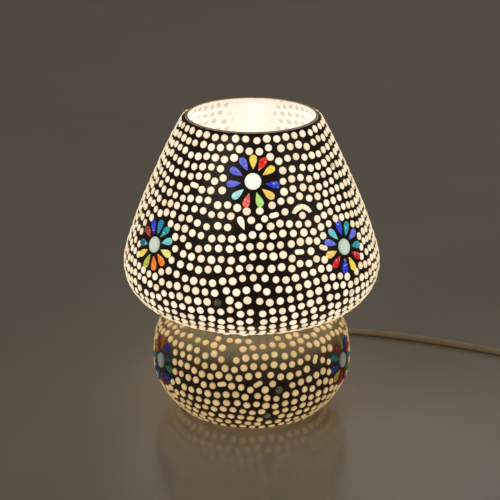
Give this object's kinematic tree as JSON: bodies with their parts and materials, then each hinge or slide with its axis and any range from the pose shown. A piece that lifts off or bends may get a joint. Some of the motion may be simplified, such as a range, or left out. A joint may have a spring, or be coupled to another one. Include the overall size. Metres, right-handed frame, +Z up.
{
  "type": "mosaic glass table lamp",
  "caption": "Open-topped table lamp: blown glass dome over a round bowl, coated in mosaic glass and dark grout, with a bulb holder inside, a cord, a rocker switch and a plug.",
  "frame": {"origin": "on the table, at the centre of the lamp's feet", "axes": "+Z up, -Y towards the front, +X to the right; the cord leaves the back of the bowl and runs to the right"},
  "size_m": [0.4335, 0.2332, 0.216],
  "materials": {
    "lamp_glass": "milky, smooth",
    "gold_line": "gilt paint, satin",
    "grout": "smoothed by hand, satin",
    "petal_glass": "coloured, glossy",
    "centre_glass": "milky, glossy",
    "clear_rubber": "clear, soft",
    "plated_steel": "zinc plated",
    "black_rubber": "matte",
    "holder_plastic": "moulded, satin",
    "porcelain": "glazed",
    "contact_brass": "rolled",
    "lead_plastic": "drawn insulation",
    "cord_plastic": "ivory, satin",
    "switch_plastic": "ivory, moulded",
    "black_plastic": "moulded",
    "bulb_glass": "frosted",
    "filament": "yellow light rods"
  },
  "bodies": {
    "lamp": {"centre_contact": "contact_brass", "cord_bushing": "holder_plastic", "cord_coil": "cord_plastic", "cord_grommet": "black_rubber", "cord_inside": "cord_plastic", "cord_lamp_run": "cord_plastic", "cord_plug_run": "cord_plastic", "cord_switch_run": "cord_plastic", "flower_centre_bowl_1": "centre_glass", "flower_centre_bowl_2": "centre_glass", "flower_centre_bowl_3": "centre_glass", "flower_centre_high_1": "centre_glass", "flower_centre_high_2": "centre_glass", "flower_centre_high_3": "centre_glass", "flower_centre_low_1": "centre_glass", "flower_centre_low_2": "centre_glass", "flower_centre_low_3": "centre_glass", "glass_bowl": "lamp_glass", "glass_dome": "lamp_glass", "grout_bowl": "grout", "grout_dome": "grout", "holder_cap": "holder_plastic", "holder_insert": "porcelain", "holder_leads": "lead_plastic", "holder_skirt": "holder_plastic", "lock_nuts": "plated_steel", "petals_bowl_1": "petal_glass", "petals_bowl_2": "petal_glass", "petals_bowl_3": "petal_glass", "petals_high_1": "petal_glass", "petals_high_2": "petal_glass", "petals_high_3": "petal_glass", "petals_low_1": "petal_glass", "petals_low_2": "petal_glass", "petals_low_3": "petal_glass", "plug_body": "switch_plastic", "plug_pin_sleeves": "black_plastic", "plug_pins": "contact_brass", "plug_relief": "switch_plastic", "rim_line": "gold_line", "rubber_feet": "clear_rubber", "rubber_washers": "black_rubber", "screw_shell": "contact_brass", "steel_washers": "plated_steel", "switch_base": "switch_plastic", "switch_contacts": "contact_brass", "switch_cover": "switch_plastic", "switch_screws": "plated_steel", "terminal_screws": "plated_steel", "threaded_tube": "plated_steel"},
    "bulb": {"bulb_globe": "bulb_glass", "bulb_cap": "plated_steel", "bulb_insulator": "black_plastic", "bulb_contact": "contact_brass", "bulb_stem": "bulb_glass", "bulb_filaments": "filament"},
    "rocker": {"switch_rocker": "switch_plastic"}
  },
  "joints": [
    {"name": "bulb_lift", "type": "slide", "parent": "lamp", "child": "bulb", "axis": [0, 0, 1], "range_m": [0, 0.2]},
    {"name": "rocker_tilt", "type": "hinge", "parent": "lamp", "child": "rocker", "pos_m": [0.26117, 0.05643, 0.0132], "axis": [-0.342, -0.9397, 0], "range_deg": [0, 18]}
  ]
}
